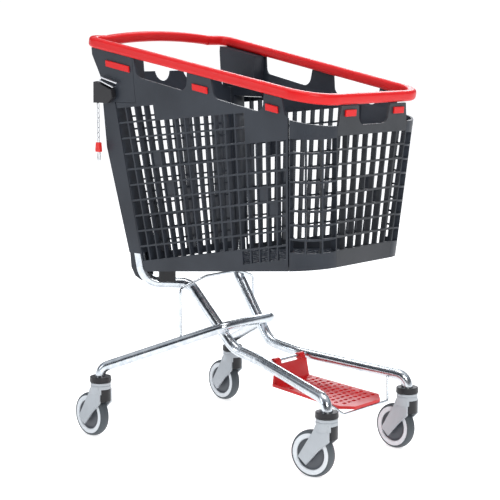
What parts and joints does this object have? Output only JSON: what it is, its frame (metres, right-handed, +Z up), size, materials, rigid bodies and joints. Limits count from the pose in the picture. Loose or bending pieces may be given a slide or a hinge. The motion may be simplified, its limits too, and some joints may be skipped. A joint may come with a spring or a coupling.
{
  "type": "shopping cart",
  "caption": "Supermarket trolley: moulded lattice basket with a continuous padded rim on two bent steel tubes, swing gate, lower tray and swivel castors.",
  "frame": {"origin": "on the floor, under the centre of the cart's bounding box", "axes": "+X forward in the direction of travel, +Y to the cart's left, +Z up"},
  "size_m": [0.8642, 0.6263, 1.1441],
  "materials": {
    "basket_plastic": "fine-textured dark slate polypropylene",
    "front_plastic": "fine-textured charcoal polypropylene",
    "rim_plastic": "semi-gloss red polypropylene",
    "tray_plastic": "semi-gloss red polypropylene",
    "key_plastic": "gloss red moulding",
    "plated_steel": "bright zinc plating over drawn steel tube",
    "bright_steel": "bright turned steel",
    "castor_plastic": "satin light grey nylon",
    "black_plastic": "satin black nylon",
    "hub_plastic": "satin dark grey nylon",
    "ring_plastic": "satin pale grey nylon",
    "tyre_rubber": "matt grey rubber tread"
  },
  "bodies": {
    "cart": {"side_panel_right": "basket_plastic", "side_panel_left": "basket_plastic", "front_panel": "front_plastic", "front_corner_right": "front_plastic", "front_corner_left": "front_plastic", "corner_post_right": "basket_plastic", "corner_post_left": "basket_plastic", "floor_panel": "basket_plastic", "gate_hinge_pins": "bright_steel", "rim_front": "rim_plastic", "rim_right": "rim_plastic", "rim_left": "rim_plastic", "handle_bar": "rim_plastic", "rim_clips": "rim_plastic", "main_tube_right": "plated_steel", "main_tube_left": "plated_steel", "rear_leg_tube": "plated_steel", "brace_rod": "plated_steel", "tube_saddles": "black_plastic", "tray_rod": "plated_steel", "tray_hanger": "plated_steel", "stem_collars": "black_plastic", "stem_pins": "bright_steel", "swivel_bearings": "bright_steel", "lock_case": "black_plastic", "lock_cover": "black_plastic", "slot_lips": "bright_steel"},
    "gate": {"gate_panel": "basket_plastic"},
    "tray": {"tray_basket": "tray_plastic"},
    "coin_slider": {"coin_slider": "bright_steel"},
    "key_chain": {"chain_links": "bright_steel", "key_grip": "key_plastic", "key_tongue": "bright_steel"},
    "fork_front_right": {"fork_housing_front_right": "castor_plastic", "fork_bumper_front_right": "black_plastic", "wheel_axle_front_right": "bright_steel"},
    "wheel_front_right": {"wheel_hub_front_right": "hub_plastic", "wheel_ring_front_right": "ring_plastic", "wheel_tyre_front_right": "tyre_rubber"},
    "fork_front_left": {"fork_housing_front_left": "castor_plastic", "fork_bumper_front_left": "black_plastic", "wheel_axle_front_left": "bright_steel"},
    "wheel_front_left": {"wheel_hub_front_left": "hub_plastic", "wheel_ring_front_left": "ring_plastic", "wheel_tyre_front_left": "tyre_rubber"},
    "fork_rear_right": {"fork_housing_rear_right": "castor_plastic", "fork_bumper_rear_right": "black_plastic", "wheel_axle_rear_right": "bright_steel"},
    "wheel_rear_right": {"wheel_hub_rear_right": "hub_plastic", "wheel_ring_rear_right": "ring_plastic", "wheel_tyre_rear_right": "tyre_rubber"},
    "fork_rear_left": {"fork_housing_rear_left": "castor_plastic", "fork_bumper_rear_left": "black_plastic", "wheel_axle_rear_left": "bright_steel"},
    "wheel_rear_left": {"wheel_hub_rear_left": "hub_plastic", "wheel_ring_rear_left": "ring_plastic", "wheel_tyre_rear_left": "tyre_rubber"}
  },
  "joints": [
    {"name": "gate_swing", "type": "hinge", "parent": "cart", "child": "gate", "pos_m": [-0.29, 0, 0.992], "axis": [0, -1, 0], "range_deg": [0, 80]},
    {"name": "tray_lift", "type": "hinge", "parent": "cart", "child": "tray", "pos_m": [0.123, 0, 0.25], "axis": [0, -1, 0], "range_deg": [0, 55]},
    {"name": "coin_slide", "type": "slide", "parent": "cart", "child": "coin_slider", "axis": [1, 0, 0], "range_m": [0, 0.014]},
    {"name": "key_swing", "type": "hinge", "parent": "cart", "child": "key_chain", "pos_m": [-0.328, -0.278, 0.9465], "axis": [1, 0, 0], "range_deg": [-25, 5]},
    {"name": "swivel_front_right", "type": "hinge", "parent": "cart", "child": "fork_front_right", "pos_m": [0.399, -0.179, 0.15], "axis": [0, 0, 1], "continuous": true},
    {"name": "roll_front_right", "type": "hinge", "parent": "fork_front_right", "child": "wheel_front_right", "pos_m": [0.35819, -0.18293, 0.0625], "axis": [-0.0958, 0.9954, 0], "continuous": true},
    {"name": "swivel_front_left", "type": "hinge", "parent": "cart", "child": "fork_front_left", "pos_m": [0.399, 0.179, 0.15], "axis": [0, 0, 1], "continuous": true},
    {"name": "roll_front_left", "type": "hinge", "parent": "fork_front_left", "child": "wheel_front_left", "pos_m": [0.35835, 0.18435, 0.0625], "axis": [0.1305, 0.9914, 0], "continuous": true},
    {"name": "swivel_rear_right", "type": "hinge", "parent": "cart", "child": "fork_rear_right", "pos_m": [-0.331, -0.281, 0.15], "axis": [0, 0, 1], "continuous": true},
    {"name": "roll_rear_right", "type": "hinge", "parent": "fork_rear_right", "child": "wheel_rear_right", "pos_m": [-0.37184, -0.27743, 0.0625], "axis": [0.0872, 0.9962, 0], "continuous": true},
    {"name": "swivel_rear_left", "type": "hinge", "parent": "cart", "child": "fork_rear_left", "pos_m": [-0.331, 0.281, 0.15], "axis": [0, 0, 1], "continuous": true},
    {"name": "roll_rear_left", "type": "hinge", "parent": "fork_rear_left", "child": "wheel_rear_left", "pos_m": [-0.3716, 0.28671, 0.0625], "axis": [0.1392, 0.9903, 0], "continuous": true}
  ]
}
